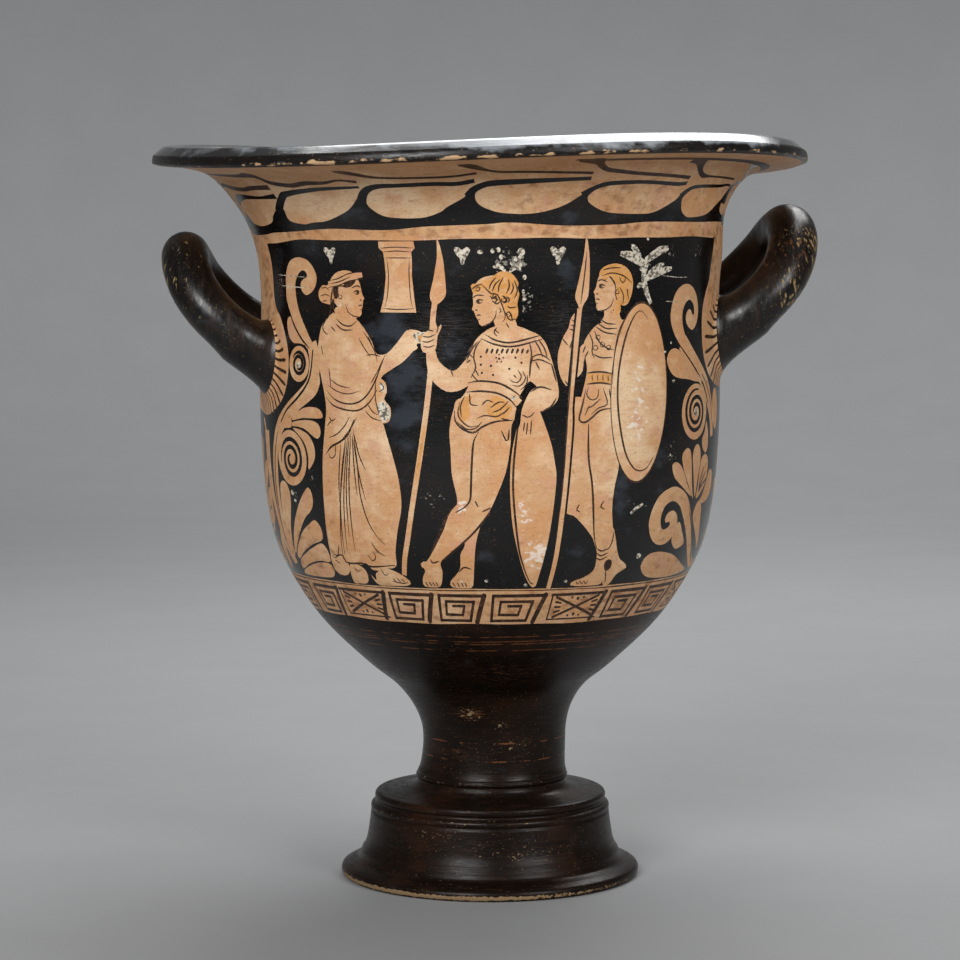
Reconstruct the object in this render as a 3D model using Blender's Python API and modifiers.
"""Bell krater: a wheel-thrown mixing bowl with two upswept loop handles, on a stem and a moulded foot.

The vessel is one fired piece. Its wall is a profile turned by a Screw modifier, its handles are bevelled
curves, and a Boolean union joins them. Metres, +Z up, origin at the centre of the foot's underside.
"""
import math

import bmesh
import bpy
from mathutils import Matrix, Vector

# ---- driving dimensions, in metres and degrees -----------------------------------------------------------
RIM_HEIGHT = 0.388
RIM_RADIUS = 0.173
LIP_HEIGHT = 0.0080
LIP_OVERHANG = 0.0095
LIP_INNER_RADIUS = 0.1565
WALL_RADIUS = 0.1215
WALL_THICKNESS = 0.0070
STEM_RADIUS = 0.0382
FOOT_RADIUS = 0.0800
FLANGE_EDGE = 0.0046
FLANGE_ROUND = 0.0020
REST_RING_INNER = 0.0655
LIP_DISH = 0.0026
LIP_UNDERSIDE = (0.1700, 0.3778)

LEFT_TURN = 2.5
RIGHT_TURN = 8.0
HANDLE_ROLL = 5.0
LEFT_ROOT_HEIGHT = 0.2842
RIGHT_ROOT_HEIGHT = 0.2960
LEFT_HANDLE_RISE = 0.0478
RIGHT_HANDLE_RISE = 0.0500
HANDLE_ROOT_RADIUS = 0.0160
LEFT_BAR_RADIUS = 0.0124
RIGHT_BAR_RADIUS = 0.0132
ROOT_SWELL_START = 0.004
ROOT_SWELL_END = 0.032

# The rim sank a little in the kiln: it shifts sideways, and it waves up and down twice round its turn.
WARP_START_HEIGHT = 0.328
WARP_FULL_HEIGHT = 0.370
RIM_SHIFT = -0.0053
RIM_WAVE = 0.0036
RIM_DROOP = 0.0009
STEM_SHIFT = 0.0023
STEM_SHIFT_HEIGHT = 0.074
STEM_SHIFT_REACH = 0.036

# ---- resolution ------------------------------------------------------------------------------------------
TURN_STEPS = 56
BAR_STEPS = 26
BAR_BEVEL = 4
FINE_STEPS = 8
HANDLE_STEPS = 6
NOSE_STEPS = 6
EDGE_STEPS = 3
OUTLINE_TOLERANCE = 0.0004
HIDDEN_TOLERANCE = 0.0009
MERGE = 0.0001

# ---- outline of the wall: (radius, height), each list runs from top to bottom -----------------------------
NECK_AND_BOWL = (
    (0.1620, 0.3775), (0.1500, 0.3754), (0.1430, 0.3724), (0.1387, 0.3686), (0.1341, 0.3634),
    (0.1287, 0.3545), (0.1260, 0.3470), (0.1238, 0.3360), (WALL_RADIUS, 0.3100), (0.1224, 0.2650),
    (0.1217, 0.2340), (0.1192, 0.2050),
    (0.1140, 0.1804), (0.1035, 0.1588), (0.0880, 0.1370), (0.0650, 0.1150), (0.0513, 0.1040),
    (0.0432, 0.0932), (0.0391, 0.0823), (STEM_RADIUS, 0.0720), (0.0388, 0.0600), (0.0402, 0.0550),
)
FOOT_TABLE = ((0.0412, 0.0482), (0.0450, 0.0466), (0.0592, 0.0450))
FOOT_WALL = ((0.0648, 0.0280), (0.0660, 0.0205), (0.0680, 0.0146))
FOOT_FLARE = ((0.0690, 0.0138), (0.0702, 0.0098), (0.0745, 0.0072))

# Half-round mouldings of the foot: centre, radii, first and last angle in degrees, steps.
STEM_RING = ((0.0396, 0.0535), (0.0011, 0.0015), 60.0, -80.0, 2)
FIRST_BEAD = ((0.0602, 0.0425), (0.0018, 0.0022), 60.0, -60.0, 2)
SECOND_BEAD = ((0.0626, 0.0366), (0.0015, 0.0016), 80.0, 0.0, 1)

INSIDE_FLOOR = (
    (0.1063, 0.1800), (0.0950, 0.1588), (0.0780, 0.1385), (0.0560, 0.1215), (0.0300, 0.1110),
)
INSIDE_FLOOR_HEIGHT = 0.1085
UNDER_FOOT = ((0.0625, 0.0040), (0.0585, 0.0180), (0.0510, 0.0300), (0.0340, 0.0390))
UNDER_FOOT_TOP = 0.0430

# One half of a handle's middle line: (outward from the axis, sideways, share of the rise).
HANDLE_HALF = (
    (0.1142, 0.0330, 0.000), (0.1260, 0.0366, 0.085), (0.1362, 0.0385, 0.255), (0.1470, 0.0362, 0.470),
    (0.1548, 0.0296, 0.680), (0.1592, 0.0196, 0.870), (0.1608, 0.0092, 0.970), (0.1611, 0.0000, 1.000),
)


def clear_scene():
    """Removes the objects that a new file starts with."""
    for item in list(bpy.data.objects):
        bpy.data.objects.remove(item, do_unlink=True)


def smoothstep(low, high, value):
    """Rises from 0 at low to 1 at high with level ends."""
    share = min(max((value - low) / (high - low), 0.0), 1.0)
    return share * share * (3.0 - 2.0 * share)


def catmull_rom(points, steps):
    """A smooth curve through the points, with a number of steps in each span and both ends kept."""
    knots = [Vector(p) for p in points]
    padded = [2.0 * knots[0] - knots[1]] + knots + [2.0 * knots[-1] - knots[-2]]
    curve = []
    for i in range(len(knots) - 1):
        a, b, c, d = padded[i:i + 4]
        for step in range(steps):
            t = step / steps
            curve.append(0.5 * (2.0 * b + (c - a) * t + (2.0 * a - 5.0 * b + 4.0 * c - d) * t ** 2
                                + (3.0 * b - a - 3.0 * c + d) * t ** 3))
    curve.append(knots[-1])
    return curve


def thin_out(points, tolerance):
    """Drops the points of an outline that lie within the tolerance of the straight line past them."""
    if len(points) < 3:
        return list(points)
    run = (points[-1] - points[0]).normalized()
    gaps = [abs(run.cross(p - points[0])) for p in points[1:-1]]
    worst = max(range(len(gaps)), key=gaps.__getitem__)
    if gaps[worst] <= tolerance:
        return [points[0], points[-1]]
    split = worst + 1
    return thin_out(points[:split + 1], tolerance)[:-1] + thin_out(points[split:], tolerance)


def arc(centre, radii, start, end, steps):
    """Points of an elliptical arc in the profile plane, from one angle to another in degrees."""
    angles = [math.radians(start + (end - start) * i / steps) for i in range(steps + 1)]
    return [Vector((centre[0] + radii[0] * math.cos(a), centre[1] + radii[1] * math.sin(a))) for a in angles]


def lip_points():
    """The overhanging lip: over its top, round its nose, and back under it."""
    top = RIM_RADIUS - LIP_OVERHANG
    nose = arc((top, RIM_HEIGHT - LIP_HEIGHT), (LIP_OVERHANG, LIP_HEIGHT), 90.0, -9.0, NOSE_STEPS)
    return [Vector((LIP_INNER_RADIUS, RIM_HEIGHT - LIP_DISH))] + nose + [Vector(LIP_UNDERSIDE)]


def foot_points():
    """The foot's steps: the stem's ring, two beads, the wall, the flare, the flange and its flat ring."""
    table = [Vector(p) for p in FOOT_TABLE]
    wall = [Vector(p) for p in FOOT_WALL]
    flare = [Vector(p) for p in FOOT_FLARE]
    round_height = FLANGE_EDGE / 2.0 + 0.3 * FLANGE_ROUND
    edge_centre = (FOOT_RADIUS - FLANGE_ROUND, round_height)
    edge = arc(edge_centre, (FLANGE_ROUND, round_height), 70.0, -90.0, EDGE_STEPS)
    return arc(*STEM_RING) + table + arc(*FIRST_BEAD) + arc(*SECOND_BEAD) + wall + flare + edge


def inside_points():
    """The inside of the bowl, a wall's thickness in from its outside, from the floor up to the lip."""
    outer = [p for p in catmull_rom(NECK_AND_BOWL, FINE_STEPS) if p.y > INSIDE_FLOOR[0][1]]
    wall = []
    for before, here, after in zip(outer, outer[1:], outer[2:]):
        along = (after - before).normalized()
        wall.append(here + Vector((along.y, -along.x)) * WALL_THICKNESS)
    wall = thin_out(wall, HIDDEN_TOLERANCE)
    floor = [Vector(p) for p in INSIDE_FLOOR[1:]]
    return [Vector((0.0, INSIDE_FLOOR_HEIGHT))] + floor[::-1] + wall[::-1]


def krater_profile():
    """The whole section, from the middle of the bowl's floor, over the lip, to the hollow in the foot."""
    bowl = thin_out(catmull_rom(NECK_AND_BOWL, FINE_STEPS), OUTLINE_TOLERANCE)[:-1]
    under = [Vector((REST_RING_INNER, 0.0))] + catmull_rom(UNDER_FOOT, 1) + [Vector((0.0, UNDER_FOOT_TOP))]
    return inside_points() + lip_points() + bowl + foot_points() + under


def warp(point):
    """Moves a point of the fired vessel as the kiln did: a bent stem, a shifted rim and a wavy rim."""
    share = smoothstep(WARP_START_HEIGHT, WARP_FULL_HEIGHT, point.z)
    turn = math.atan2(point.x, -point.y)
    wave = RIM_WAVE * math.sin(2.0 * turn) + RIM_DROOP * (1.0 - math.cos(2.0 * turn))
    stem = STEM_SHIFT * (1.0 - smoothstep(0.0, STEM_SHIFT_REACH, abs(point.z - STEM_SHIFT_HEIGHT)))
    return Vector((point.x + RIM_SHIFT * share + stem, point.y, point.z + wave * share))


def make_material(name, colour, roughness):
    """One Principled material."""
    material = bpy.data.materials.new(name)
    material.use_nodes = True
    shader = material.node_tree.nodes["Principled BSDF"]
    shader.inputs["Base Color"].default_value = (*colour, 1.0)
    shader.inputs["Roughness"].default_value = roughness
    shader.inputs["Metallic"].default_value = 0.0
    return material


def baked_mesh(item):
    """The object's mesh after its modifiers or its bevel, with its doubles merged."""
    graph = bpy.context.evaluated_depsgraph_get()
    mesh = bpy.data.meshes.new_from_object(item.evaluated_get(graph))
    work = bmesh.new()
    work.from_mesh(mesh)
    bmesh.ops.remove_doubles(work, verts=work.verts, dist=MERGE)
    bmesh.ops.recalc_face_normals(work, faces=work.faces)
    work.to_mesh(mesh)
    work.free()
    return mesh


def make_vessel(collection, material):
    """The thrown part: the section turned about the axis, then warped."""
    section = krater_profile()
    mesh = bpy.data.meshes.new("section")
    edges = [(i, i + 1) for i in range(len(section) - 1)]
    mesh.from_pydata([(p.x, 0.0, p.y) for p in section], edges, [])
    turned = bpy.data.objects.new("section", mesh)
    collection.objects.link(turned)
    screw = turned.modifiers.new("turn", "SCREW")
    screw.axis = "Z"
    screw.angle = math.tau
    screw.steps = TURN_STEPS
    screw.render_steps = TURN_STEPS
    screw.use_merge_vertices = True
    screw.merge_threshold = MERGE
    body = baked_mesh(turned)
    bpy.data.objects.remove(turned, do_unlink=True)
    for vertex in body.vertices:
        vertex.co = warp(vertex.co)
    body.materials.clear()
    body.materials.append(material)
    body.shade_smooth()
    body.set_sharp_from_angle(angle=math.radians(40.0))
    vessel = bpy.data.objects.new("krater", body)
    collection.objects.link(vessel)
    return vessel


def handle_route(side, turned, root_height, rise, bar_radius):
    """The middle line of one handle, root to root, with the bar's radius at each point."""
    half = [Vector((out * side, across, rise * share)) for out, across, share in HANDLE_HALF]
    mirrored = [Vector((p.x, -p.y, p.z)) for p in half[-2::-1]]
    line = catmull_rom(half + mirrored, HANDLE_STEPS)
    roll = Matrix.Rotation(math.radians(HANDLE_ROLL), 3, "X")
    turn = Matrix.Rotation(math.radians(turned), 3, "Z")
    lengths = [0.0]
    for a, b in zip(line, line[1:]):
        lengths.append(lengths[-1] + (b - a).length)
    route = []
    for i in range(BAR_STEPS + 1):
        wanted = lengths[-1] * i / BAR_STEPS
        k = next(k for k in range(1, len(line)) if lengths[k] >= wanted - 1e-9)
        t = (wanted - lengths[k - 1]) / (lengths[k] - lengths[k - 1])
        point = line[k - 1].lerp(line[k], t)
        from_root = min(wanted, lengths[-1] - wanted)
        swell = 1.0 - smoothstep(ROOT_SWELL_START, ROOT_SWELL_END, from_root)
        radius = bar_radius + (HANDLE_ROOT_RADIUS - bar_radius) * swell
        route.append((turn @ roll @ point + Vector((0.0, 0.0, root_height)), radius))
    return route


def make_handle(name, route, collection):
    """One upswept loop: a round bar bent from root to root, its ends buried in the wall."""
    data = bpy.data.curves.new(name, "CURVE")
    data.dimensions = "3D"
    data.bevel_depth = 1.0
    data.bevel_resolution = BAR_BEVEL
    data.use_fill_caps = True
    spline = data.splines.new("POLY")
    spline.points.add(len(route) - 1)
    for knot, (point, radius) in zip(spline.points, route):
        knot.co = (*point, 1.0)
        knot.radius = radius
    bar = bpy.data.objects.new(name, data)
    collection.objects.link(bar)
    mesh = baked_mesh(bar)
    solid = bpy.data.objects.new(name + "_bar", mesh)
    solid.matrix_world = bar.matrix_world
    bpy.data.objects.remove(bar, do_unlink=True)
    solid.hide_render = True
    solid.display_type = "WIRE"
    collection.objects.link(solid)
    return solid


def join(vessel, bar):
    """Unites a handle with the wall."""
    union = vessel.modifiers.new(bar.name, "BOOLEAN")
    union.operation = "UNION"
    union.solver = "EXACT"
    union.object = bar


def main():
    """Builds the krater in its own collection, and the joined bars in another."""
    clear_scene()
    parts = bpy.data.collections.new("bell_krater")
    guides = bpy.data.collections.new("joined_bars")
    bpy.context.scene.collection.children.link(parts)
    bpy.context.scene.collection.children.link(guides)
    clay = make_material("fired_clay_black_slip", (0.030, 0.026, 0.026), 0.30)
    vessel = make_vessel(parts, clay)
    left = handle_route(-1.0, LEFT_TURN, LEFT_ROOT_HEIGHT, LEFT_HANDLE_RISE, LEFT_BAR_RADIUS)
    right = handle_route(1.0, RIGHT_TURN, RIGHT_ROOT_HEIGHT, RIGHT_HANDLE_RISE, RIGHT_BAR_RADIUS)
    join(vessel, make_handle("left_handle", left, guides))
    join(vessel, make_handle("right_handle", right, guides))


main()
